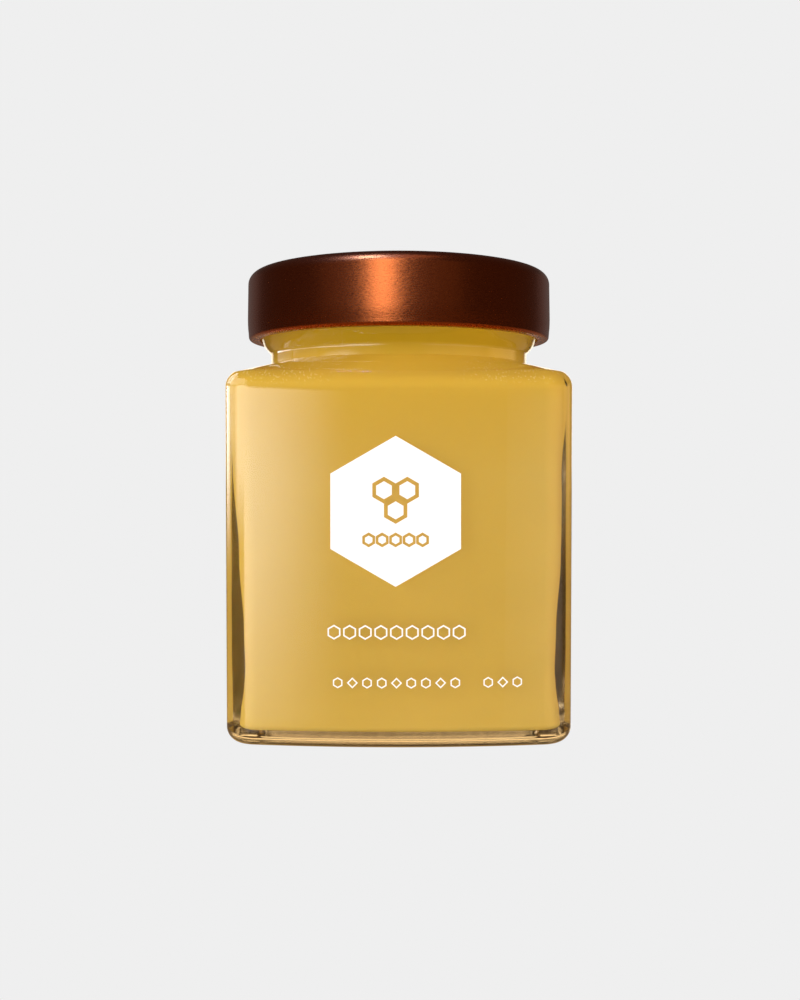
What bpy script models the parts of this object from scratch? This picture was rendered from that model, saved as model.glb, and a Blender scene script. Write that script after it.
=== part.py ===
"""A square honey jar: a clear glass jar full of creamed honey, with a deep twist-off metal lid and a hexagon label.

Metres, +Z up. The origin is the middle of the base, and the label faces -Y.
"""

import math

import bmesh
import bpy

MM = 0.001

# Body of the jar: a square with bowed faces and round vertical edges
HALF_WIDTH = 36.1 * MM
FACE_BOW = 2.3 * MM
EDGE_RADIUS = 6.3 * MM
BODY_TAPER = 0.28 * MM
HEEL_RADIUS = 3.0 * MM
SHOULDER_START = 69.5 * MM
SHOULDER_RADIUS = 3.3 * MM
SHOULDER_SLOPE = math.radians(29)

# Neck and the rim that the lid closes
NECK_RADIUS = 28.0 * MM
NECK_FOOT = 76.0 * MM
BEAD_RADIUS = 29.3 * MM
BEAD_UNDERSIDE = 78.8 * MM
RIM_TOP = 94.5 * MM
RIM_ROUND = 0.9 * MM
MOUTH_RADIUS = 25.4 * MM

# Inside of the jar
FLOOR_THICKNESS = 4.2 * MM
WALL_AT_SHOULDER = 2.3 * MM
WALL_AT_FOOT = 3.3 * MM
INNER_EDGE_AT_SHOULDER = 5.0 * MM
INNER_EDGE_AT_FOOT = 8.5 * MM
INNER_HEEL = 4.5 * MM
INNER_SHOULDER = 68.6 * MM
INNER_SHOULDER_RADIUS = 2.4 * MM
INNER_NECK_FOOT = 74.6 * MM
FOOT_RING_WIDTH = 5.0 * MM
PUSH_UP = 0.8 * MM

# Honey
CLEARANCE = 0.3 * MM
HONEY_LEVEL = 91.0 * MM

# Lid
LID_RADIUS = 33.0 * MM
LID_FLARE = 0.15 * MM
LID_TOP = 95.8 * MM
LID_FOOT = 81.0 * MM
LID_EDGE_RADIUS = 2.6 * MM
LID_SHEET = 0.5 * MM
LID_CURL = 0.8 * MM
PANEL_RADIUS = 26.0 * MM
PANEL_DROP = 0.5 * MM

# Label: a hexagon that stands on a corner
LABEL_CORNER = 14.3 * MM
LABEL_CENTRE_X = -0.6 * MM
LABEL_CENTRE_Z = 45.4 * MM
LABEL_GAP = 0.2 * MM
LABEL_THICKNESS = 0.3 * MM
LABEL_STRIP = 3.0 * MM

FACE_STEPS = 10
EDGE_STEPS = 6
ARC_STEPS = 6
WALL_STEPS = 5
LID_STEPS = 72

SHOULDER_TURN = math.pi / 2 - SHOULDER_SLOPE


def clear_scene():
    for item in list(bpy.data.objects):
        bpy.data.objects.remove(item, do_unlink=True)


def make_collection(name):
    collection = bpy.data.collections.new(name)
    bpy.context.scene.collection.children.link(collection)
    return collection


def make_material(name, colour, roughness, metallic=0.0, transmission=0.0):
    material = bpy.data.materials.new(name)
    material.use_nodes = True
    shader = material.node_tree.nodes["Principled BSDF"]
    shader.inputs["Base Color"].default_value = (*colour, 1.0)
    shader.inputs["Roughness"].default_value = roughness
    shader.inputs["Metallic"].default_value = metallic
    shader.inputs["Transmission Weight"].default_value = transmission
    material.diffuse_color = (*colour, 1.0)
    return material


def bow_radius(half, edge_radius):
    """Radius of the arc that a face follows, from its sagitta over the span between the round edges."""
    span = half - edge_radius
    return (span * span + FACE_BOW * FACE_BOW) / (2 * FACE_BOW)


def arc(centre, radius, start, end, steps):
    """Plan points along an arc, without its last point."""
    angles = [start + (end - start) * step / steps for step in range(steps)]
    return [(centre[0] + radius * math.cos(angle), centre[1] + radius * math.sin(angle)) for angle in angles]


def square_section(half, edge_radius, inset=0.0):
    """Plan points of the bowed square, counter-clockwise from the middle of one edge, moved in by inset."""
    radius = bow_radius(half, edge_radius)
    back = radius - half
    reach = radius - edge_radius
    corner = (math.sqrt(2 * reach * reach - back * back) - back) / 2
    face_end = math.atan2(corner, corner + back)
    side = arc((corner, -corner), edge_radius - inset, -math.pi / 4, -face_end, EDGE_STEPS // 2)
    side += arc((-back, 0), radius - inset, -face_end, face_end, FACE_STEPS)
    side += arc((corner, corner), edge_radius - inset, face_end, math.pi / 4, EDGE_STEPS // 2)
    points = []
    for quarter in range(4):
        cosine = round(math.cos(quarter * math.pi / 2))
        sine = round(math.sin(quarter * math.pi / 2))
        points += [(x * cosine - y * sine, x * sine + y * cosine) for x, y in side]
    return points


def circle_section(radius):
    """Plan points of a circle, each in the direction of the same point of the square section."""
    points = []
    for x, y in square_section(HALF_WIDTH, EDGE_RADIUS):
        length = math.hypot(x, y)
        points.append((x * radius / length, y * radius / length))
    return points


def between(first, second, share):
    return [(a[0] + (b[0] - a[0]) * share, a[1] + (b[1] - a[1]) * share) for a, b in zip(first, second)]


def body_half(z):
    """Half the body's width at a height: it narrows a little towards the base."""
    return HALF_WIDTH - BODY_TAPER * (1 - min(z / SHOULDER_START, 1))


def quarter_arc(steps, start=0.0, end=math.pi / 2):
    return [start + (end - start) * step / steps for step in range(steps + 1)]


def outer_sections():
    """The jar's outer side as (height, plan points), from the push-up in the base to the rim."""
    foot = square_section(body_half(0), EDGE_RADIUS, HEEL_RADIUS)
    middle = [(0, 0)] * len(foot)
    sections = [(PUSH_UP, between(foot, middle, (FOOT_RING_WIDTH + 2 * PUSH_UP) / HALF_WIDTH)),
                (0, between(foot, middle, FOOT_RING_WIDTH / HALF_WIDTH))]
    for angle in quarter_arc(ARC_STEPS):
        inset = HEEL_RADIUS * (1 - math.sin(angle))
        height = HEEL_RADIUS * (1 - math.cos(angle))
        sections.append((height, square_section(body_half(height), EDGE_RADIUS, inset)))
    for angle in quarter_arc(ARC_STEPS, 0, SHOULDER_TURN):
        inset = SHOULDER_RADIUS * (1 - math.cos(angle))
        height = SHOULDER_START + SHOULDER_RADIUS * math.sin(angle)
        sections.append((height, square_section(HALF_WIDTH, EDGE_RADIUS, inset)))
    edge_height, edge = sections[-1]
    neck = circle_section(NECK_RADIUS)
    for share in (0.5, 1.0):
        sections.append((edge_height + (NECK_FOOT - edge_height) * share, between(edge, neck, share)))
    bead_top = BEAD_UNDERSIDE + 1.0 * MM
    sections.append((BEAD_UNDERSIDE - 0.3 * MM, circle_section(NECK_RADIUS)))
    sections.append((BEAD_UNDERSIDE + 0.2 * MM, circle_section(NECK_RADIUS + 0.5 * MM)))
    sections.append((BEAD_UNDERSIDE + 0.5 * MM, circle_section(BEAD_RADIUS - 0.3 * MM)))
    sections.append((bead_top, circle_section(BEAD_RADIUS)))
    for angle in quarter_arc(3):
        radius = BEAD_RADIUS - RIM_ROUND * (1 - math.cos(angle))
        sections.append((RIM_TOP - RIM_ROUND * (1 - math.sin(angle)), circle_section(radius)))
    return sections


def wall_at(z):
    """Wall thickness and inner edge radius at a height: the glass grows thicker towards the foot."""
    share = (1 - min(z / INNER_SHOULDER, 1)) ** 2
    wall = WALL_AT_SHOULDER + (WALL_AT_FOOT - WALL_AT_SHOULDER) * share
    edge = INNER_EDGE_AT_SHOULDER + (INNER_EDGE_AT_FOOT - INNER_EDGE_AT_SHOULDER) * share
    return wall, edge


def cavity_sections(shrink, floor, top):
    """The jar's inside as (height, plan points), from its floor to a height in the neck, made smaller by shrink."""
    sections = []
    heel_end = FLOOR_THICKNESS + INNER_HEEL
    for angle in quarter_arc(ARC_STEPS - 1):
        height = floor + (heel_end - floor) * (1 - math.cos(angle))
        wall, edge = wall_at(height)
        inset = shrink + INNER_HEEL * (1 - math.sin(angle))
        sections.append((height, square_section(body_half(height) - wall, edge, inset)))
    for step in range(1, WALL_STEPS + 1):
        height = heel_end + (INNER_SHOULDER - heel_end) * step / WALL_STEPS
        wall, edge = wall_at(height)
        sections.append((height, square_section(body_half(height) - wall, edge, shrink)))
    for angle in quarter_arc(ARC_STEPS // 2, 0, SHOULDER_TURN)[1:]:
        inset = shrink + INNER_SHOULDER_RADIUS * (1 - math.cos(angle))
        height = INNER_SHOULDER + (INNER_SHOULDER_RADIUS - shrink) * math.sin(angle)
        sections.append((height, square_section(HALF_WIDTH - WALL_AT_SHOULDER, INNER_EDGE_AT_SHOULDER, inset)))
    edge_height, edge = sections[-1]
    neck = circle_section(MOUTH_RADIUS - shrink)
    neck_foot = INNER_NECK_FOOT - shrink
    for share in (0.5, 1.0):
        sections.append((edge_height + (neck_foot - edge_height) * share, between(edge, neck, share)))
    sections.append((top, neck))
    return sections


def loft(name, sections, collection, material):
    """One closed body through the sections, capped flat at the first and the last."""
    mesh = bpy.data.meshes.new(name)
    shape = bmesh.new()
    rings = [[shape.verts.new((x, y, z)) for x, y in points] for z, points in sections]
    for lower, upper in zip(rings, rings[1:]):
        for index in range(len(lower)):
            after = (index + 1) % len(lower)
            shape.faces.new((lower[index], lower[after], upper[after], upper[index]))
    shape.faces.new(list(reversed(rings[0])))
    shape.faces.new(rings[-1])
    bmesh.ops.recalc_face_normals(shape, faces=shape.faces)
    shape.to_mesh(mesh)
    shape.free()
    mesh.shade_smooth()
    mesh.set_sharp_from_angle(angle=math.radians(35))
    mesh.materials.append(material)
    body = bpy.data.objects.new(name, mesh)
    collection.objects.link(body)
    return body


def make_jar(collection):
    glass = make_material("clear_glass", (0.95, 0.97, 0.95), 0.03, transmission=1.0)
    inner = cavity_sections(0, FLOOR_THICKNESS, RIM_TOP - RIM_ROUND)
    rim = []
    for angle in quarter_arc(3, 0, math.pi / 2):
        radius = MOUTH_RADIUS + RIM_ROUND * (1 - math.cos(angle))
        rim.append((RIM_TOP - RIM_ROUND * (1 - math.sin(angle)), circle_section(radius)))
    down_inside = list(reversed(inner[:-1] + rim))
    return loft("glass_jar", outer_sections() + down_inside, collection, glass)


def make_honey(collection):
    honey = make_material("creamed_honey", (0.78, 0.50, 0.14), 0.35)
    sections = cavity_sections(CLEARANCE, FLOOR_THICKNESS + CLEARANCE, HONEY_LEVEL)
    return loft("honey", sections, collection, honey)


def lid_profile():
    """Half section of the lid as (radius, height), from the axis over the top, down the side and back inside."""
    panel_top = LID_TOP - PANEL_DROP
    edge_centre = LID_RADIUS - LID_EDGE_RADIUS
    points = [(0, panel_top), (PANEL_RADIUS - 0.6 * MM, panel_top), (PANEL_RADIUS, panel_top + PANEL_DROP * 0.6),
              (PANEL_RADIUS + 0.6 * MM, LID_TOP)]
    for angle in quarter_arc(ARC_STEPS, math.pi / 2, 0):
        points.append((edge_centre + LID_EDGE_RADIUS * math.cos(angle),
                       LID_TOP - LID_EDGE_RADIUS * (1 - math.sin(angle))))
    curl_x = LID_RADIUS + LID_FLARE - LID_CURL
    curl_z = LID_FOOT + LID_CURL
    points.append((LID_RADIUS, curl_z + 2.2 * MM))
    for angle in quarter_arc(ARC_STEPS + 2, 0, -math.pi):
        points.append((curl_x + LID_CURL * math.cos(angle), curl_z + LID_CURL * math.sin(angle)))
    inside = LID_RADIUS - LID_SHEET
    ceiling = RIM_TOP + CLEARANCE
    inner_edge = LID_EDGE_RADIUS - LID_SHEET
    points.append((curl_x - LID_CURL * 0.4, curl_z + LID_CURL * 0.9))
    points.append((inside, curl_z + 2.0 * MM))
    for angle in quarter_arc(3, 0, math.pi / 2):
        points.append((edge_centre + inner_edge * math.cos(angle),
                       ceiling + 0.4 * MM - inner_edge * (1 - math.sin(angle))))
    points.append((edge_centre - 0.8 * MM, ceiling))
    points.append((0, ceiling))
    return points


def make_lid(collection):
    mesh = bpy.data.meshes.new("lid")
    profile = lid_profile()
    mesh.from_pydata([(x, 0, z) for x, z in profile], [(i, i + 1) for i in range(len(profile) - 1)], [])
    mesh.materials.append(make_material("copper_lacquer", (0.30, 0.09, 0.03), 0.35, metallic=0.9))
    lid = bpy.data.objects.new("lid", mesh)
    collection.objects.link(lid)
    turn = lid.modifiers.new("turn", "SCREW")
    turn.steps = LID_STEPS
    turn.render_steps = LID_STEPS
    turn.use_merge_vertices = True
    turn.merge_threshold = 0.00005
    turn.use_smooth_shade = True
    return lid


def front_y(x):
    """How far forward the jar's front face stands at x."""
    radius = bow_radius(HALF_WIDTH, EDGE_RADIUS)
    return radius - HALF_WIDTH - math.sqrt(radius * radius - x * x)


def make_label(collection):
    """A hexagon laid round the bow of the front face."""
    shape = bmesh.new()
    corners = []
    for step in range(6):
        angle = math.radians(90 + 60 * step)
        corners.append(shape.verts.new((LABEL_CENTRE_X + LABEL_CORNER * math.cos(angle), 0,
                                        LABEL_CENTRE_Z + LABEL_CORNER * math.sin(angle))))
    shape.faces.new(corners)
    half_width = LABEL_CORNER * math.cos(math.radians(30))
    cuts = int(half_width // LABEL_STRIP)
    for step in range(-cuts, cuts + 1):
        where = (LABEL_CENTRE_X + step * LABEL_STRIP, 0, 0)
        parts = shape.verts[:] + shape.edges[:] + shape.faces[:]
        bmesh.ops.bisect_plane(shape, geom=parts, dist=1e-6, plane_co=where, plane_no=(1, 0, 0))
    for point in shape.verts:
        point.co.y = front_y(point.co.x) - LABEL_GAP
    bmesh.ops.recalc_face_normals(shape, faces=shape.faces)
    if sum(face.normal.y for face in shape.faces) > 0:
        bmesh.ops.reverse_faces(shape, faces=shape.faces)
    mesh = bpy.data.meshes.new("front_label")
    shape.to_mesh(mesh)
    shape.free()
    mesh.materials.append(make_material("white_label", (0.95, 0.95, 0.95), 0.5))
    label = bpy.data.objects.new("front_label", mesh)
    collection.objects.link(label)
    thicken = label.modifiers.new("thickness", "SOLIDIFY")
    thicken.thickness = LABEL_THICKNESS
    thicken.offset = 1.0
    return label


def main():
    clear_scene()
    collection = make_collection("honey_jar")
    make_jar(collection)
    make_honey(collection)
    make_lid(collection)
    make_label(collection)


main()
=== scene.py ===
"""Looks of a square honey jar: clear glass, creamed honey, satin copper lid, hexagon label and fine print.

Metres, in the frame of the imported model: the base stands on z = 0 and the label faces -Y.
"""
import math

import bmesh
import bpy
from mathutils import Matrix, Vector


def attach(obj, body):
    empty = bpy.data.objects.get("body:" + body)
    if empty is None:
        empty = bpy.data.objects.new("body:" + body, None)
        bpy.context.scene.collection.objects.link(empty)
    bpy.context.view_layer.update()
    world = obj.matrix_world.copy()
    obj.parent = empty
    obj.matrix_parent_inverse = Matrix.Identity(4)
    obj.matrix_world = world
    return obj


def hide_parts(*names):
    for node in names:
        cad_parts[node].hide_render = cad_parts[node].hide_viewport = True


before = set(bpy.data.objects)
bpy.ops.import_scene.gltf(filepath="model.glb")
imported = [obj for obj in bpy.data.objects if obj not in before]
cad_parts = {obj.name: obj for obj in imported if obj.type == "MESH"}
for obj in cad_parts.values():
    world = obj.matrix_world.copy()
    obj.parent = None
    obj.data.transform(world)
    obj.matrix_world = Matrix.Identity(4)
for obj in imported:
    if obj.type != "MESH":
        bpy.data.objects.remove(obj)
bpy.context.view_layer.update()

MM = 0.001

# Body of the jar, as in the solids
HALF_WIDTH = 36.1 * MM
FACE_BOW = 2.3 * MM
EDGE_RADIUS = 6.3 * MM
BODY_TAPER = 0.28 * MM
HEEL_RADIUS = 3.0 * MM
SHOULDER_START = 69.5 * MM
SHOULDER_RADIUS = 3.3 * MM
SHOULDER_TURN = math.radians(61)
NECK_RADIUS = 28.0 * MM
NECK_FOOT = 76.0 * MM
# Heights of the neck's straight part, some close to its ends so that its shading stays upright
NECK_HEIGHTS = (76.2 * MM, 77.7 * MM, 77.9 * MM)
# The bead under the lid and the step back to the threaded part, as (height, radius)
BEAD = [(78.25 * MM, 28.05 * MM), (78.5 * MM, 28.25 * MM), (79.3 * MM, 29.0 * MM), (80.0 * MM, 29.55 * MM),
        (80.8 * MM, 29.85 * MM), (81.3 * MM, 30.2 * MM), (81.8 * MM, 30.3 * MM), (82.4 * MM, 30.2 * MM),
        (82.8 * MM, 29.8 * MM), (83.1 * MM, 29.3 * MM)]
RIM_TOP = 94.5 * MM
RIM_ROUND = 0.9 * MM
MOUTH_RADIUS = 25.4 * MM
FLOOR_THICKNESS = 2.95 * MM
# Glass thickness at heights from the floor to the shoulder: thickest a little above the foot
WALLS = [(FLOOR_THICKNESS, 3.5 * MM), (7 * MM, 3.75 * MM), (10 * MM, 4.1 * MM), (14 * MM, 4.3 * MM),
         (22 * MM, 4.12 * MM), (36 * MM, 3.5 * MM), (52 * MM, 3.1 * MM), (68.6 * MM, 2.3 * MM)]
# The inside stands a little askew: how far to the right, up to the first height and from the second on
INNER_LEAN = ((40 * MM, 0.15 * MM), (52 * MM, -0.2 * MM))
INNER_BOW = 1.3 * MM
INNER_HEEL = 0.9 * MM
INNER_SHOULDER = 68.6 * MM
INNER_SHOULDER_RADIUS = 2.4 * MM
INNER_NECK_FOOT = 74.6 * MM
FOOT_RING_WIDTH = 5.0 * MM
PUSH_UP = 0.8 * MM
HONEY_LEVEL = 91.0 * MM
# So that no air gap shows between honey and glass
HONEY_INTO_WALL = 0.15 * MM

# Lid
LID_RADIUS = 33.0 * MM
LID_FLARE = 0.1 * MM
LID_TOP = 95.8 * MM
LID_FOOT = 81.1 * MM
LID_EDGE_RADIUS = 2.6 * MM
LID_SHEET = 0.5 * MM
# Below the side's straight part: (distance under the top, how much narrower)
LID_TAPER = ((10.0 * MM, 0.0), (11.2 * MM, 0.02 * MM), (12.2 * MM, 0.07 * MM), (13.0 * MM, 0.15 * MM))
LID_CURL = 0.8 * MM
LID_CURL_INSET = 0.22 * MM
LID_LIP_ROUND = 0.3 * MM
LID_LIP = 30.45 * MM
PANEL_RADIUS = 26.0 * MM
PANEL_DROP = 0.5 * MM
PANEL_STEP = 1.2 * MM
# Inside of the lid: its clearance over the rim, the heights over its foot where the lip ends and where the
# slope above it ends, and the groove round the ceiling as height and width
LID_CLEARANCE = 0.3 * MM
LID_LIP_HEIGHT = 1.0 * MM
LID_SLOPE_HEIGHT = 3.0 * MM
LID_GROOVE = 0.4 * MM
LID_GROOVE_WIDTH = 0.8 * MM

# Label: a hexagon, with three honeycomb cells and a row of small cells printed on it
LABEL_CORNER = 14.3 * MM
LABEL_CENTRE_X = -0.6 * MM
LABEL_CENTRE_Z = 45.4 * MM
CELL = 2.55 * MM
CELL_STROKE = 0.72 * MM
CELLS_ABOVE = 2.1 * MM
SMALL_CELLS = 5
SMALL_CELL = 1.4 * MM
SMALL_CELL_STROKE = 0.5 * MM
SMALL_CELL_PITCH = 2.55 * MM
SMALL_CELLS_BELOW = 5.4 * MM
# Kinds of ring, as (sides, turn in degrees)
HEXAGON = (6, 90)
DIAMOND = (4, 90)
# Rows of rings printed on the glass: (x of the first, z, how many, pitch, radius, stroke, kinds in turn)
ROWS = (
    (-12.3 * MM, 22.45 * MM, 9, 2.97 * MM, 1.42 * MM, 0.28 * MM, (HEXAGON,)),
    (-11.6 * MM, 12.85 * MM, 9, 2.79 * MM, 1.05 * MM, 0.24 * MM, (HEXAGON, DIAMOND, HEXAGON)),
    (17.0 * MM, 12.85 * MM, 3, 2.79 * MM, 1.05 * MM, 0.24 * MM, (HEXAGON, DIAMOND, HEXAGON)))
# How far off the glass each printed plate starts, and how thick it is
LABEL_LIFT = 0.01 * MM
LABEL_THICKNESS = 0.08 * MM
MOTIF_LIFT = 0.09 * MM
MOTIF_THICKNESS = 0.04 * MM
MARKS_LIFT = 0.02 * MM
MARKS_THICKNESS = 0.05 * MM
# Width of the strips that let a plate follow the bowed face
PRINT_STRIP = 1.5 * MM

# Camera of the photograph: level, this far from the jar's axis and this high
CAMERA_DISTANCE = 250 * MM
CAMERA_HEIGHT = 54.8 * MM
FOCAL_PIXELS = 1130
PICTURE_LONG_SIDE = 1000
SENSOR = 36
HORIZON_ROW = 461.7
AXIS_COLUMN = 398.8
PICTURE_CENTRE = (400, 500)

BACKGROUND = 0.863
# What surrounds the jar, as the glass and the lid mirror it: a dim studio and the table in it, with the
# elevations between which the table fades in and the colour that it adds
STUDIO = (0.075, 0.058, 0.047)
TABLE_BAND = (-10, -15)
TABLE_COLOUR = (0.35, 0.24, 0.12)

GLASS_TINT = (0.955, 0.965, 0.945, 1)
GLASS_IOR = 1.5
# What the glass takes from light on its way through
GLASS_SOAK = (0.85, 0.60, 0.15, 1)
GLASS_SOAK_DENSITY = 20.0
# The heel is a little uneven: roughness at the foot, fading out between these heights
HEEL_ROUGHNESS = 0.07
HEEL_BAND = (4.5 * MM, 7.0 * MM)

# Honey's refractive index over glass's: below 1, so glass mirrors where it meets the honey at a flat angle
HONEY_AGAINST_GLASS = 0.95
# Share of that mirror that is honey's own colour, because honey isn't smooth: on the left and on the right
HONEY_IN_MIRROR = (0.12, 0.06)
MIRROR_BLEND = 5 * MM
HONEY_DARK = (0.503, 0.350, 0.072)
HONEY_PALE = (0.53, 0.369, 0.079)
# Painted shade: richer and a little darker towards the neck, where less light falls, and deeper still under
# the lid, painted as the lid's shade and copper light where the glass there is thick, with the heights
# between which each colour comes in
HONEY_PAINTED_SHADE_TOP = (0.52, 0.333, 0.038)
ABOVE = (52 * MM, 74 * MM)
HONEY_PAINTED_LID_SHADE = (0.335, 0.208, 0.009)
NECK_BAND = (75.0 * MM, 79.8 * MM)
# Painted shade: darker on the two sides near the foot, from the middle of the jar out and downwards between
# these places
HONEY_PAINTED_LOW_SHADE = (0.31, 0.20, 0.042)
SIDE_STARTS = (30.2 * MM, 31.0 * MM)
LOW_BAND = (16 * MM, 6 * MM)
# Pale specks in the honey under the shoulder, left and right of the middle, with their bands as
# (axis, where they start, where they are full)
PALE_SPECKS = (0.66, 0.50, 0.18)
PALE_SPECK_BANDS = (("Z", 69.5 * MM, 70.5 * MM), ("Z", 75.0 * MM, 73.5 * MM), ("X", 10 * MM, 16 * MM))

# Each of these surfaces varies between two colours
LACQUER_TONES = ((0.30, 0.047, 0.006), (0.36, 0.064, 0.009))
LABEL_TONES = ((0.95, 0.95, 0.95), (0.98, 0.98, 0.98))
GOLD_TONES = ((0.48, 0.29, 0.050), (0.54, 0.33, 0.060))
# The print on the glass is one even white
WHITE_PRINT = (0.93, 0.93, 0.90, 1)

# Soft light on everything, unseen in the mirror images. All lights are given as (name, azimuth, elevation,
# distance, width, height, radiance, colour), in degrees and metres, with azimuth 0 in front and negative to
# the left.
FILLS = (
    ("front_fill", -12, 4, 0.9, 0.9, 0.9, 3.62, (1, 1, 1)),
    ("top_fill", -15, 62, 0.9, 0.9, 0.9, 0.2, (1, 1, 1)),
    ("side_fill_left", -80, 30, 0.3, 0.2, 0.2, 3.5, (1, 0.82, 0.84)),
    ("side_fill_right", 80, 30, 0.3, 0.2, 0.2, 7.5, (1, 0.86, 0.86)),
    ("back_fill", 180, 20, 0.9, 0.9, 0.9, 1.2, (1, 1, 1)))
# The lid's highlights
LID_LIGHTS = (
    ("lid_front", -11.5, 22, 0.8, 0.22, 0.62, 8.0, (0.68, 1.0, 1.6)),
    ("lid_glow", -6, 22, 0.8, 1.9, 0.5, 0.12, (1, 1, 1)),
    ("lid_above", -15, 62, 0.8, 0.7, 0.5, 0.6, (1, 1, 1)),
    ("lid_behind", 180, 8, 0.8, 2.0, 0.5, 0.10, (1, 1, 1)),
    ("lid_top", -31, 58, 0.8, 0.14, 0.24, 36.0, (0.35, 1.0, 3.4)))
# Cards that the glass mirrors, each with the places between which its light fades: (source, where it starts,
# where it is full, what is left outside), and for one of them a corner that is cut out
GLASS_CARDS = (
    (("left_card", -50, 2, 0.8, 1.6, 0.8, 5.9, (1, 1, 1)),
     (("azimuth", -7, -30, 0), ("azimuth", -84, -66, 0), ("height", -0.35, 0.06, 0),
      ("height", 0.156, 0.142, 0.04)),
     ((-41, -48), (0.06, -0.04))),
    (("left_side_card", -92, 3, 0.8, 0.5, 0.5, 2.4, (1, 1, 1)),
     (("azimuth", -66, -80, 0), ("azimuth", -112, -104, 0), ("height", 0.02, 0.09, 0),
      ("height", 0.150, 0.132, 0.15)),
     None),
    (("left_edge_card", -122, 2, 0.8, 0.4, 0.4, 5.8, (1, 1, 1)),
     (("height", -0.06, 0.11, 0), ("height", 0.150, 0.130, 0.1), ("azimuth", -104, -112, 0)),
     None),
    (("left_shoulder_card", -70, 24, 0.8, 1.2, 0.5, 2.4, (1, 1, 1)),
     (("height", 0.16, 0.20, 0), ("azimuth", -30, -50, 0)),
     None),
    (("left_corner_card", -115, 28, 0.8, 0.5, 0.5, 3.0, (1, 1, 1)),
     (("height", 0.18, 0.26, 0), ("azimuth", -96, -110, 0)),
     None),
    (("right_card", 55, -2, 0.8, 1.2, 0.6, 0.6, (1, 1, 1)),
     (("azimuth", 12, 30, 0), ("azimuth", 92, 70, 0), ("height", -0.30, -0.10, 0), ("height", 0.20, 0.08, 0)),
     None),
    (("right_edge_card", 108, 2, 0.8, 0.9, 0.6, 1.4, (1, 0.72, 0.30)),
     (("azimuth", 78, 92, 0), ("azimuth", 130, 118, 0), ("height", -0.06, 0.09, 0),
      ("height", 0.25, 0.12, 0)),
     None),
    (("wall_behind", 180, 9, 0.8, 1.0, 0.40, 1.5, (1.0, 0.91, 0.72)),
     (("height", 0.02, 0.06, 0), ("turn", 148, 158, 0)),
     None))
# What the lights turn about
LIGHTS_MIDDLE = Vector((0, 0, 50 * MM))

# How finely the shapes are cut: round the plan, up the walls and round the edges
FACE_STEPS = 28
EDGE_STEPS = 20
WALL_STEPS = 24
INNER_WALL_STEPS = 40
SLOPE_STEPS = 8
ROUND_STEPS = 12
INNER_SHOULDER_STEPS = 8
RIM_STEPS = 6
PUSH_UP_STEPS = 6
PANEL_STEPS = 8
LID_EDGE_STEPS = 16
LID_STEPS = 192


def arc(centre, radius, start, end, steps):
    angles = [start + (end - start) * step / steps for step in range(steps)]
    return [(centre[0] + radius * math.cos(angle), centre[1] + radius * math.sin(angle)) for angle in angles]


def bow_radius(half, edge_radius, bow=FACE_BOW):
    span = half - edge_radius
    return (span * span + bow * bow) / (2 * bow)


def square_section(half, edge_radius, inset=0.0, bow=FACE_BOW):
    """Plan points of the bowed square, counter-clockwise from the middle of one edge, moved in by inset."""
    radius = bow_radius(half, edge_radius, bow)
    back = radius - half
    reach = radius - edge_radius
    corner = (math.sqrt(2 * reach * reach - back * back) - back) / 2
    face_end = math.atan2(corner, corner + back)
    side = arc((corner, -corner), edge_radius - inset, -math.pi / 4, -face_end, EDGE_STEPS // 2)
    side += arc((-back, 0), radius - inset, -face_end, face_end, FACE_STEPS)
    side += arc((corner, corner), edge_radius - inset, face_end, math.pi / 4, EDGE_STEPS // 2)
    points = []
    for quarter in range(4):
        cosine = round(math.cos(quarter * math.pi / 2))
        sine = round(math.sin(quarter * math.pi / 2))
        points += [(x * cosine - y * sine, x * sine + y * cosine) for x, y in side]
    return points


def circle_section(radius):
    points = []
    for x, y in square_section(HALF_WIDTH, EDGE_RADIUS):
        length = math.hypot(x, y)
        points.append((x * radius / length, y * radius / length))
    return points


def between(first, second, share):
    return [(a[0] + (b[0] - a[0]) * share, a[1] + (b[1] - a[1]) * share) for a, b in zip(first, second)]


def body_half(z):
    return HALF_WIDTH - BODY_TAPER * (1 - min(z / SHOULDER_START, 1))


def spread(steps, start=0.0, end=math.pi / 2):
    return [start + (end - start) * step / steps for step in range(steps + 1)]


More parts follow.
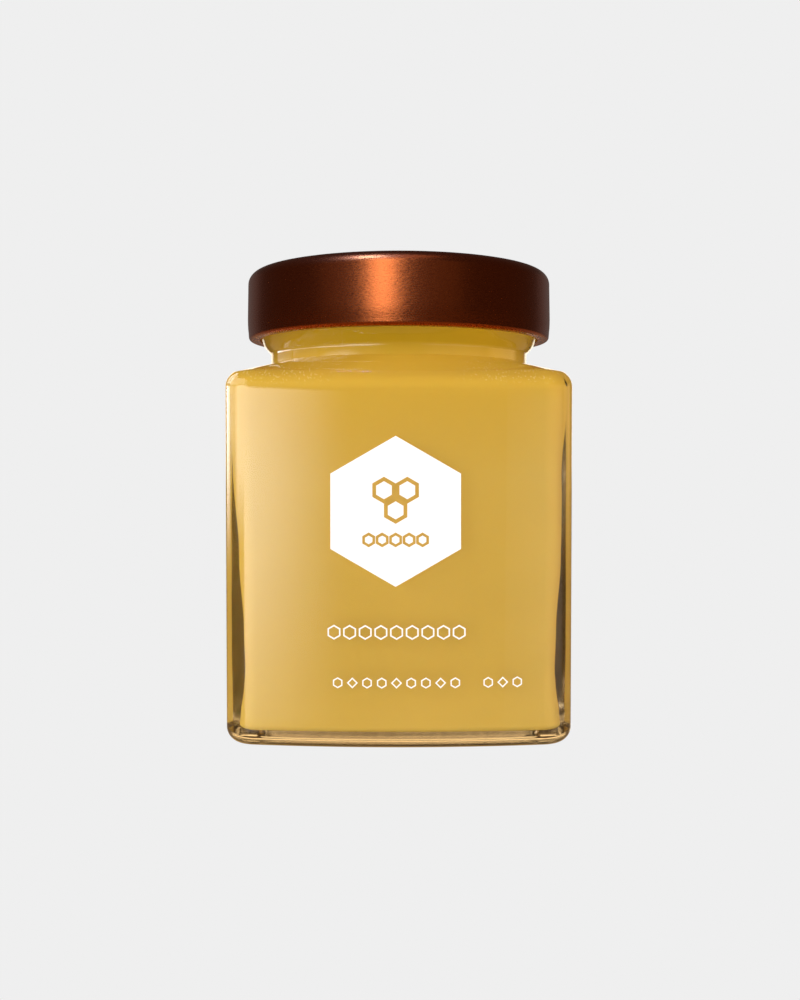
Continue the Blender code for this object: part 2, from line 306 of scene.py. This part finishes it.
def outer_sections():
    """The jar's outer side as (height, plan points), from the push-up in the base to the rim."""
    foot = square_section(body_half(0), EDGE_RADIUS, HEEL_RADIUS)
    middle = [(0, 0)] * len(foot)
    ring_share = FOOT_RING_WIDTH / HALF_WIDTH
    sections = []
    for share in (0.9, 0.7, 0.5, 0.3):
        sections.append((PUSH_UP, between(foot, middle, share)))
    for step in range(PUSH_UP_STEPS, -1, -1):
        rise = (1 - math.cos(math.pi * step / PUSH_UP_STEPS)) / 2
        share = ring_share + step / PUSH_UP_STEPS * 2 * PUSH_UP / HALF_WIDTH
        sections.append((PUSH_UP * rise, between(foot, middle, share)))
    for angle in spread(ROUND_STEPS):
        inset = HEEL_RADIUS * (1 - math.sin(angle))
        height = HEEL_RADIUS * (1 - math.cos(angle))
        sections.append((height, square_section(body_half(height), EDGE_RADIUS, inset)))
    for step in range(1, WALL_STEPS):
        height = HEEL_RADIUS + (SHOULDER_START - HEEL_RADIUS) * step / WALL_STEPS
        sections.append((height, square_section(body_half(height), EDGE_RADIUS)))
    for angle in spread(ROUND_STEPS, 0, SHOULDER_TURN):
        inset = SHOULDER_RADIUS * (1 - math.cos(angle))
        height = SHOULDER_START + SHOULDER_RADIUS * math.sin(angle)
        sections.append((height, square_section(HALF_WIDTH, EDGE_RADIUS, inset)))
    edge_height, edge = sections[-1]
    neck = circle_section(NECK_RADIUS)
    for step in range(1, SLOPE_STEPS + 1):
        share = step / SLOPE_STEPS
        sections.append((edge_height + (NECK_FOOT - edge_height) * share, between(edge, neck, share)))
    for height in NECK_HEIGHTS:
        sections.append((height, neck))
    for height, radius in BEAD:
        sections.append((height, circle_section(radius)))
    for angle in spread(RIM_STEPS):
        radius = BEAD[-1][1] - RIM_ROUND * (1 - math.cos(angle))
        sections.append((RIM_TOP - RIM_ROUND * (1 - math.sin(angle)), circle_section(radius)))
    return sections


def wall_at(z):
    """Glass thickness at a height, with soft changes between the given heights."""
    if z <= WALLS[0][0]:
        return WALLS[0][1]
    for (low, first), (high, second) in zip(WALLS, WALLS[1:]):
        if z <= high:
            share = (z - low) / (high - low)
            return first + (second - first) * share * share * (3 - 2 * share)
    return WALLS[-1][1]


def inner_section(z, inset):
    wall = wall_at(z)
    half = body_half(z) - wall - (FACE_BOW - INNER_BOW)
    points = square_section(half, EDGE_RADIUS - wall, inset, INNER_BOW)
    (low, start), (high, end) = INNER_LEAN
    shift = start + (end - start) * min(max((z - low) / (high - low), 0), 1)
    return [(x + shift, y) for x, y in points]


def cavity_sections(grow, floor, top):
    """The jar's inside as (height, plan points), made wider by grow."""
    sections = []
    heel_end = FLOOR_THICKNESS + INNER_HEEL
    foot = inner_section(floor, INNER_HEEL - grow)
    for share in (0.9, 0.6, 0.3):
        sections.append((floor, between(foot, [(0, 0)] * len(foot), share)))
    for angle in spread(ROUND_STEPS):
        height = floor + (heel_end - floor) * (1 - math.cos(angle))
        sections.append((height, inner_section(height, INNER_HEEL * (1 - math.sin(angle)) - grow)))
    for step in range(1, INNER_WALL_STEPS + 1):
        height = heel_end + (INNER_SHOULDER - heel_end) * step / INNER_WALL_STEPS
        sections.append((height, inner_section(height, -grow)))
    for angle in spread(INNER_SHOULDER_STEPS, 0, SHOULDER_TURN)[1:]:
        inset = INNER_SHOULDER_RADIUS * (1 - math.cos(angle)) - grow
        height = INNER_SHOULDER + (INNER_SHOULDER_RADIUS + grow) * math.sin(angle)
        sections.append((height, inner_section(INNER_SHOULDER, inset)))
    edge_height, edge = sections[-1]
    neck = circle_section(MOUTH_RADIUS + grow)
    neck_foot = INNER_NECK_FOOT + grow
    for step in range(1, SLOPE_STEPS + 1):
        share = step / SLOPE_STEPS
        sections.append((edge_height + (neck_foot - edge_height) * share, between(edge, neck, share)))
    for share in (0.33, 0.67, 1.0):
        sections.append((neck_foot + (top - neck_foot) * share, neck))
    return sections


def loft(name, sections, material):
    """One closed body through the sections, capped flat at both ends."""
    mesh = bpy.data.meshes.new(name)
    shape = bmesh.new()
    rings = [[shape.verts.new((x, y, z)) for x, y in points] for z, points in sections]
    for lower, upper in zip(rings, rings[1:]):
        for index in range(len(lower)):
            after = (index + 1) % len(lower)
            shape.faces.new((lower[index], lower[after], upper[after], upper[index]))
    shape.faces.new(list(reversed(rings[0])))
    shape.faces.new(rings[-1])
    bmesh.ops.recalc_face_normals(shape, faces=shape.faces)
    shape.to_mesh(mesh)
    shape.free()
    return finished(name, mesh, material)


def finished(name, mesh, material, sharp_from=40):
    """The mesh as a piece of the jar, shaded smooth but for edges that turn more than sharp_from degrees."""
    mesh.shade_smooth()
    mesh.set_sharp_from_angle(angle=math.radians(sharp_from))
    mesh.materials.append(material)
    piece = bpy.data.objects.new(name, mesh)
    bpy.context.scene.collection.objects.link(piece)
    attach(piece, "root")
    return piece


class Nodes:
    """Short calls to build a material's node tree."""

    def __init__(self, name):
        self.material = bpy.data.materials.new(name)
        self.material.use_nodes = True
        self.tree = self.material.node_tree
        self.tree.nodes.clear()
        self.output = self.add("ShaderNodeOutputMaterial")

    def add(self, kind, inputs=None, **settings):
        node = self.tree.nodes.new(kind)
        for key, value in settings.items():
            setattr(node, key, value)
        for key, value in (inputs or {}).items():
            self.feed(node.inputs[key], value)
        return node

    def feed(self, socket, value):
        if isinstance(value, bpy.types.NodeSocket):
            self.tree.links.new(value, socket)
        elif isinstance(value, bpy.types.Node):
            self.tree.links.new(value.outputs[0], socket)
        else:
            socket.default_value = value

    def noise(self, scale, detail, roughness, stretch=(1, 1, 1)):
        """Noise in object space, drawn out along the axes by stretch."""
        place = self.add("ShaderNodeTexCoord").outputs["Object"]
        mapped = self.add("ShaderNodeMapping", {"Vector": place, "Scale": stretch})
        return self.add("ShaderNodeTexNoise", {"Vector": mapped, "Scale": scale, "Detail": detail,
                                               "Roughness": roughness}).outputs["Fac"]

    def ramp(self, factor, stops):
        stops = list(stops)
        node = self.add("ShaderNodeValToRGB", {"Fac": factor})
        elements = node.color_ramp.elements
        while len(elements) < len(stops):
            elements.new(0.5)
        for element, (position, colour) in zip(elements, stops):
            element.position = position
            element.color = (*colour, 1)
        return node.outputs["Color"]

    def remap(self, value, low, high, to_low, to_high):
        return self.add("ShaderNodeMapRange", {"Value": value, "From Min": low, "From Max": high,
                                               "To Min": to_low, "To Max": to_high}).outputs["Result"]

    def place(self, axis):
        """Position along an axis in object space, in metres."""
        where = self.add("ShaderNodeTexCoord").outputs["Object"]
        return self.add("ShaderNodeSeparateXYZ", {"Vector": where}).outputs[axis]

    def times(self, first, second):
        return self.add("ShaderNodeMath", {0: first, 1: second}, operation="MULTIPLY").outputs[0]

    def blend(self, factor, first, second):
        node = self.add("ShaderNodeMix", data_type="RGBA")
        self.feed(node.inputs["Factor"], factor)
        sockets = [socket for socket in node.inputs if socket.type == "RGBA"]
        for socket, value in zip(sockets, (first, second)):
            self.feed(socket, (*value, 1) if isinstance(value, tuple) else value)
        return [socket for socket in node.outputs if socket.type == "RGBA"][0]

    def bump(self, height, strength, distance):
        return self.add("ShaderNodeBump", {"Height": height, "Strength": strength,
                                           "Distance": distance}).outputs["Normal"]

    def shade(self, **inputs):
        """A Principled shader; names come with underscores for spaces."""
        named = {key.replace("_", " "): value for key, value in inputs.items()}
        return self.add("ShaderNodeBsdfPrincipled", named)

    def finish(self, shader):
        self.feed(self.output.inputs["Surface"], shader)
        return self.material


def glass_material():
    n = Nodes("clear_glass")
    waves = n.noise(scale=90, detail=2.0, roughness=0.4)
    near_foot = n.remap(n.place("Z"), *HEEL_BAND, HEEL_ROUGHNESS, 0.0)
    glass = n.shade(Base_Color=GLASS_TINT, Roughness=near_foot, IOR=GLASS_IOR, Transmission_Weight=1.0,
                    Normal=n.bump(waves, strength=0.05, distance=0.2 * MM))
    clear = n.add("ShaderNodeBsdfTransparent", {"Color": (0.97, 0.97, 0.96, 1)})
    path = n.add("ShaderNodeLightPath").outputs["Is Shadow Ray"]
    soak = n.add("ShaderNodeVolumeAbsorption", {"Color": GLASS_SOAK, "Density": GLASS_SOAK_DENSITY})
    n.feed(n.output.inputs["Volume"], soak)
    return n.finish(n.add("ShaderNodeMixShader", {0: path, 1: glass, 2: clear}))


def honey_material():
    n = Nodes("creamed_honey")
    cloud = n.noise(scale=28, detail=2.0, roughness=0.5)
    colour = n.ramp(cloud, [(0.3, HONEY_DARK), (0.7, HONEY_PALE)])
    height = n.place("Z")
    # Painted shade: the honey richer and a little darker towards the neck
    colour = n.blend(n.remap(height, *ABOVE, 0.0, 1.0), colour, HONEY_PAINTED_SHADE_TOP)
    pale_specks = n.remap(n.noise(scale=2600, detail=1.0, roughness=0.5), 0.60, 0.70, 0.0, 0.6)
    aside = n.add("ShaderNodeMath", {0: n.place("X")}, operation="ABSOLUTE").outputs[0]
    for axis, start, full in PALE_SPECK_BANDS:
        pale_specks = n.times(pale_specks, n.remap(height if axis == "Z" else aside, start, full, 0.0, 1.0))
    colour = n.blend(pale_specks, colour, PALE_SPECKS)
    # Painted shade and copper light from the lid, on the honey in the neck
    colour = n.blend(n.remap(height, *NECK_BAND, 0.0, 1.0), colour, HONEY_PAINTED_LID_SHADE)
    # Painted shade on the two sides near the foot
    painted_low_shade = n.times(n.remap(height, *LOW_BAND, 0.0, 1.0), n.remap(aside, *SIDE_STARTS, 0.0, 1.0))
    colour = n.blend(painted_low_shade, colour, HONEY_PAINTED_LOW_SHADE)
    body = n.shade(Base_Color=colour, Roughness=0.5, Specular_IOR_Level=0.0, Subsurface_Weight=0.25,
                   Subsurface_Radius=(1.0, 0.6, 0.25), Subsurface_Scale=0.002)
    streaks = n.noise(scale=700, detail=2.0, roughness=0.6, stretch=(1, 1, 0.06))
    shine = n.ramp(streaks, [(0.35, (0.6, 0.6, 0.6)), (0.65, (1, 1, 1))])
    mirror = n.add("ShaderNodeBsdfGlossy", {"Color": shine, "Roughness": 0.12})
    own = n.remap(n.place("X"), -MIRROR_BLEND, MIRROR_BLEND, *HONEY_IN_MIRROR)
    uneven = n.add("ShaderNodeMixShader", {0: own, 1: mirror, 2: body})
    flat = n.add("ShaderNodeFresnel", {"IOR": HONEY_AGAINST_GLASS})
    return n.finish(n.add("ShaderNodeMixShader", {0: flat, 1: body, 2: uneven}))


def lid_material():
    n = Nodes("copper_lacquer")
    sand = n.noise(scale=1500, detail=2.0, roughness=0.6, stretch=(1, 1, 4))
    tone = n.ramp(sand, zip((0.3, 0.7), LACQUER_TONES))
    rough = n.remap(sand, 0.3, 0.7, 0.25, 0.30)
    return n.finish(n.shade(Base_Color=tone, Metallic=1.0, Roughness=rough,
                            Coat_Weight=0.1, Coat_Roughness=0.35, Coat_IOR=1.5,
                            Normal=n.bump(sand, strength=0.26, distance=0.1 * MM)))


def label_material():
    n = Nodes("white_label")
    fibre = n.noise(scale=6000, detail=2.0, roughness=0.6)
    tone = n.ramp(fibre, zip((0.3, 0.7), LABEL_TONES))
    return n.finish(n.shade(Base_Color=tone, Roughness=0.6, Specular_IOR_Level=0.3,
                            Normal=n.bump(fibre, strength=0.05, distance=0.02 * MM)))


def make_jar():
    inner = cavity_sections(0, FLOOR_THICKNESS, RIM_TOP - RIM_ROUND)
    rim = []
    for angle in spread(RIM_STEPS):
        radius = MOUTH_RADIUS + RIM_ROUND * (1 - math.cos(angle))
        rim.append((RIM_TOP - RIM_ROUND * (1 - math.sin(angle)), circle_section(radius)))
    down_inside = list(reversed(inner[:-1] + rim))
    jar = loft("jar_glass", outer_sections() + down_inside, glass_material())
    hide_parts("glass_jar")
    return jar


def make_honey():
    sections = cavity_sections(HONEY_INTO_WALL, FLOOR_THICKNESS - HONEY_INTO_WALL, HONEY_LEVEL)
    honey = loft("honey_fill", sections, honey_material())
    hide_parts("honey")


def lid_profile():
    """Half section of the lid as (radius, height): from the axis over the top, down the side, back inside."""
    panel_top = LID_TOP - PANEL_DROP
    edge_centre = LID_RADIUS - LID_EDGE_RADIUS
    points = [(0, panel_top)]
    for step in range(PANEL_STEPS + 1):
        share = step / PANEL_STEPS
        points.append((PANEL_RADIUS + (share - 0.5) * PANEL_STEP,
                       panel_top + PANEL_DROP * (1 - math.cos(math.pi * share)) / 2))
    for angle in spread(LID_EDGE_STEPS, math.pi / 2, 0):
        points.append((edge_centre + LID_EDGE_RADIUS * math.cos(angle),
                       LID_TOP - LID_EDGE_RADIUS * (1 - math.sin(angle))))
    for drop, narrower in LID_TAPER:
        points.append((LID_RADIUS + LID_FLARE - narrower, LID_TOP - drop))
    curl_x = LID_RADIUS + LID_FLARE - LID_CURL_INSET - LID_CURL
    curl_z = LID_FOOT + LID_CURL
    for angle in spread(ROUND_STEPS, 0, -math.pi / 2):
        points.append((curl_x + LID_CURL * math.cos(angle), curl_z + LID_CURL * math.sin(angle)))
    lip = LID_LIP_ROUND
    for angle in spread(RIM_STEPS, -math.pi / 2, -math.pi):
        points.append((LID_LIP + lip + lip * math.cos(angle), LID_FOOT + lip + lip * math.sin(angle)))
    inside = LID_RADIUS - LID_SHEET
    ceiling = RIM_TOP + LID_CLEARANCE
    inner_edge = LID_EDGE_RADIUS - LID_SHEET
    points.append((LID_LIP, LID_FOOT + LID_LIP_HEIGHT))
    points.append((inside, LID_FOOT + LID_SLOPE_HEIGHT))
    for angle in spread(RIM_STEPS):
        points.append((edge_centre + inner_edge * math.cos(angle),
                       ceiling + LID_GROOVE - inner_edge * (1 - math.sin(angle))))
    points.append((edge_centre - LID_GROOVE_WIDTH, ceiling))
    points.append((0, ceiling))
    return points


def make_lid():
    profile = lid_profile()
    shape = bmesh.new()
    rings = []
    for x, z in profile:
        if x == 0:
            rings.append([shape.verts.new((0, 0, z))])
            continue
        turns = [2 * math.pi * k / LID_STEPS for k in range(LID_STEPS)]
        rings.append([shape.verts.new((x * math.cos(turn), x * math.sin(turn), z)) for turn in turns])
    for upper, lower in zip(rings, rings[1:]):
        for k in range(LID_STEPS):
            after = (k + 1) % LID_STEPS
            corners = [upper[k % len(upper)], upper[after % len(upper)],
                       lower[after % len(lower)], lower[k % len(lower)]]
            shape.faces.new(list(dict.fromkeys(corners)))
    bmesh.ops.recalc_face_normals(shape, faces=shape.faces)
    mesh = bpy.data.meshes.new("copper_lid")
    shape.to_mesh(mesh)
    shape.free()
    lid = finished("copper_lid", mesh, lid_material(), sharp_from=60)
    # So that the lid doesn't darken the neck and the shoulder
    lid.visible_shadow = False
    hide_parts("lid")
    return lid


def front_y(x):
    """How far forward the jar's front face stands at x, at the shoulder's width."""
    radius = bow_radius(HALF_WIDTH, EDGE_RADIUS)
    return radius - HALF_WIDTH - math.sqrt(radius * radius - x * x)


def print_shape(shape, outline, lift, thickness):
    """Adds a thin plate with this (x, z) outline to a bmesh, laid on the front face, lift off the glass."""
    flat = bmesh.new()
    flat.faces.new([flat.verts.new((x, 0, z)) for x, z in outline])
    low = min(x for x, z in outline)
    high = max(x for x, z in outline)
    strips = max(int((high - low) / PRINT_STRIP), 1)
    for step in range(1, strips):
        where = (low + (high - low) * step / strips, 0, 0)
        parts = flat.verts[:] + flat.edges[:] + flat.faces[:]
        bmesh.ops.bisect_plane(flat, geom=parts, dist=1e-7, plane_co=where, plane_no=(1, 0, 0))
    made = bmesh.ops.extrude_face_region(flat, geom=flat.faces[:])
    front = {item for item in made["geom"] if isinstance(item, bmesh.types.BMVert)}
    for point in flat.verts:
        taper = BODY_TAPER * (1 - min(point.co.z / SHOULDER_START, 1))
        point.co.y = front_y(point.co.x) + taper - lift - (thickness if point in front else 0)
    bmesh.ops.recalc_face_normals(flat, faces=flat.faces)
    copy = bpy.data.meshes.new("scratch")
    flat.to_mesh(copy)
    flat.free()
    shape.from_mesh(copy)
    bpy.data.meshes.remove(copy)


def polygon(centre, radius, sides, turn=90):
    return [(centre[0] + radius * math.cos(math.radians(turn + 360 * k / sides)),
             centre[1] + radius * math.sin(math.radians(turn + 360 * k / sides))) for k in range(sides)]


def print_piece(name, outlines, lift, thickness, material):
    shape = bmesh.new()
    for outline in outlines:
        print_shape(shape, outline, lift, thickness)
    mesh = bpy.data.meshes.new(name)
    shape.to_mesh(mesh)
    shape.free()
    return finished(name, mesh, material, sharp_from=30)


def make_label():
    centre = (LABEL_CENTRE_X, LABEL_CENTRE_Z)
    label = print_piece("hexagon_label", [polygon(centre, LABEL_CORNER, 6)], LABEL_LIFT, LABEL_THICKNESS,
                        label_material())
    # So that the label doesn't darken the honey round it
    label.visible_shadow = False
    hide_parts("front_label")


def ring_outline(centre, radius, stroke, sides=6, turn=90):
    """A ring with this many sides, as one flat four-cornered outline for each side."""
    outer = polygon(centre, radius, sides, turn)
    inner = polygon(centre, radius - stroke / math.cos(math.pi / sides), sides, turn)
    return [(outer[k], outer[(k + 1) % sides], inner[(k + 1) % sides], inner[k]) for k in range(sides)]


def gold_material():
    n = Nodes("gold_print")
    fade = n.noise(scale=500, detail=1.0, roughness=0.5)
    tone = n.ramp(fade, zip((0.35, 0.65), GOLD_TONES))
    return n.finish(n.shade(Base_Color=tone, Roughness=0.55, Specular_IOR_Level=0.3))


def white_print_material():
    n = Nodes("white_print")
    return n.finish(n.shade(Base_Color=WHITE_PRINT, Roughness=0.6, Specular_IOR_Level=0.3))


def make_motif():
    """Three gold honeycomb cells and a row of small cells, on the label."""
    outlines = []
    aside = CELL * math.sqrt(3) / 2
    half_row = 1.5 * CELL / 2
    for x, z in ((-aside, half_row), (aside, half_row), (0, -half_row)):
        outlines += ring_outline((LABEL_CENTRE_X + x, LABEL_CENTRE_Z + CELLS_ABOVE + z), CELL, CELL_STROKE)
    for k in range(SMALL_CELLS):
        x = LABEL_CENTRE_X + (k - SMALL_CELLS // 2) * SMALL_CELL_PITCH
        outlines += ring_outline((x, LABEL_CENTRE_Z - SMALL_CELLS_BELOW), SMALL_CELL, SMALL_CELL_STROKE)
    print_piece("gold_motif", outlines, MOTIF_LIFT, MOTIF_THICKNESS, gold_material())


def make_print():
    """Rows of small white shapes under the label."""
    outlines = []
    for start, z, count, pitch, radius, stroke, kinds in ROWS:
        for k in range(count):
            sides, turn = kinds[k % len(kinds)]
            outlines += ring_outline((start + k * pitch, z), radius, stroke, sides, turn)
    print_piece("white_marks", outlines, MARKS_LIFT, MARKS_THICKNESS, white_print_material())


def make_camera():
    data = bpy.data.cameras.new("camera")
    data.sensor_width = SENSOR
    data.lens = SENSOR * FOCAL_PIXELS / PICTURE_LONG_SIDE
    data.shift_x = (PICTURE_CENTRE[0] - AXIS_COLUMN) / PICTURE_LONG_SIDE
    data.shift_y = (HORIZON_ROW - PICTURE_CENTRE[1]) / PICTURE_LONG_SIDE
    data.clip_start = 0.01
    camera = bpy.data.objects.new("camera", data)
    camera.location = (0, -CAMERA_DISTANCE, CAMERA_HEIGHT)
    camera.rotation_euler = (math.pi / 2, 0, 0)
    bpy.context.scene.collection.objects.link(camera)
    bpy.context.scene.camera = camera


def make_softbox(name, azimuth, elevation, distance, width, height, radiance, colour, mirrored=True):
    """An area light that looks at the jar from an azimuth and an elevation."""
    data = bpy.data.lights.new(name, "AREA")
    data.shape = "RECTANGLE"
    data.size = width
    data.size_y = height
    data.energy = radiance * math.pi * width * height
    data.color = colour
    light = bpy.data.objects.new(name, data)
    a, e = math.radians(azimuth), math.radians(elevation)
    away = Vector((math.sin(a) * math.cos(e), -math.cos(a) * math.cos(e), math.sin(e)))
    light.location = LIGHTS_MIDDLE + away * distance
    light.rotation_euler = away.to_track_quat("Z", "Y").to_euler()
    light.visible_camera = False
    light.visible_glossy = mirrored
    light.visible_transmission = mirrored
    bpy.context.scene.collection.objects.link(light)
    return light


class SkyNodes:
    """Soft-edged light from regions round the jar, given by azimuth and elevation in degrees."""

    def __init__(self, tree, direction):
        self.tree = tree
        unit = tree.nodes.new("ShaderNodeVectorMath")
        unit.operation = "NORMALIZE"
        tree.links.new(direction, unit.inputs[0])
        split = tree.nodes.new("ShaderNodeSeparateXYZ")
        tree.links.new(unit.outputs[0], split.inputs[0])
        back = self.math("MULTIPLY", split.outputs["Y"], -1.0)
        self.azimuth = self.math("DEGREES", self.math("ARCTAN2", split.outputs["X"], back))
        self.elevation = self.math("DEGREES", self.math("ARCSINE", split.outputs["Z"]))

    def math(self, operation, *values):
        node = self.tree.nodes.new("ShaderNodeMath")
        node.operation = operation
        for socket, value in zip(node.inputs, values):
            if isinstance(value, bpy.types.NodeSocket):
                self.tree.links.new(value, socket)
            else:
                socket.default_value = value
        return node.outputs[0]

    def rise(self, value, start, end):
        node = self.tree.nodes.new("ShaderNodeMapRange")
        node.interpolation_type = "SMOOTHSTEP"
        self.tree.links.new(value, node.inputs["Value"])
        node.inputs["From Min"].default_value = start
        node.inputs["From Max"].default_value = end
        return node.outputs["Result"]


def make_world():
    world = bpy.data.worlds.new("studio")
    bpy.context.scene.world = world
    world.use_nodes = True
    tree = world.node_tree
    tree.nodes.clear()
    output = tree.nodes.new("ShaderNodeOutputWorld")
    seen = tree.nodes.new("ShaderNodeBackground")
    seen.inputs["Color"].default_value = (BACKGROUND, BACKGROUND, BACKGROUND, 1)
    n = SkyNodes(tree, tree.nodes.new("ShaderNodeTexCoord").outputs["Generated"])
    table = n.rise(n.elevation, *TABLE_BAND)
    colour = tree.nodes.new("ShaderNodeCombineColor")
    for socket, added, base in zip(colour.inputs, TABLE_COLOUR, STUDIO):
        tree.links.new(n.math("MULTIPLY_ADD", table, added, base), socket)
    around = tree.nodes.new("ShaderNodeBackground")
    tree.links.new(colour.outputs[0], around.inputs["Color"])
    path = tree.nodes.new("ShaderNodeLightPath")
    mix = tree.nodes.new("ShaderNodeMixShader")
    tree.links.new(path.outputs["Is Camera Ray"], mix.inputs[0])
    tree.links.new(around.outputs[0], mix.inputs[1])
    tree.links.new(seen.outputs[0], mix.inputs[2])
    tree.links.new(mix.outputs[0], output.inputs["Surface"])


def only_on(light, piece):
    group = bpy.data.collections.new(light.name + "_falls_on")
    group.objects.link(piece)
    light.light_linking.receiver_collection = group


def shape_card(card, limits, corner=None):
    """Fades a card's light between places, so that its mirror image has soft edges.

    Limits holds (source, where it starts, where it is full, what is left outside). The sources are azimuth,
    turn (the azimuth without its sign) and height. The light is also taken away in a corner, given by the
    azimuths and the heights between which it goes.
    """
    card.data.use_nodes = True
    tree = card.data.node_tree
    place = tree.nodes.new("ShaderNodeNewGeometry").outputs["Position"]
    n = SkyNodes(tree, place)
    split = tree.nodes.new("ShaderNodeSeparateXYZ")
    tree.links.new(place, split.inputs[0])
    sources = {"azimuth": n.azimuth, "turn": n.math("ABSOLUTE", n.azimuth), "height": split.outputs["Z"]}
    fade = 1.0
    for source, start, full, least in limits:
        share = n.math("MULTIPLY_ADD", n.rise(sources[source], start, full), 1.0 - least, least)
        fade = n.math("MULTIPLY", fade, share)
    if corner:
        cut = n.math("MULTIPLY", n.rise(n.azimuth, *corner[0]), n.rise(split.outputs["Z"], *corner[1]))
        fade = n.math("MULTIPLY", fade, n.math("SUBTRACT", 1.0, cut))
    tree.links.new(fade, tree.nodes["Emission"].inputs["Strength"])


def make_lights(glass, lid):
    for box in FILLS:
        make_softbox(*box, mirrored=False)
    on_lid = [make_softbox(*box) for box in LID_LIGHTS]
    on_glass = []
    for box, limits, corner in GLASS_CARDS:
        card = make_softbox(*box)
        shape_card(card, limits, corner)
        on_glass.append(card)
    for light in on_lid:
        only_on(light, lid)
    for card in on_glass:
        only_on(card, glass)


bpy.context.scene.view_settings.view_transform = "Standard"
make_camera()
make_world()
make_lights(make_jar(), make_lid())
make_honey()
make_label()
make_motif()
make_print()
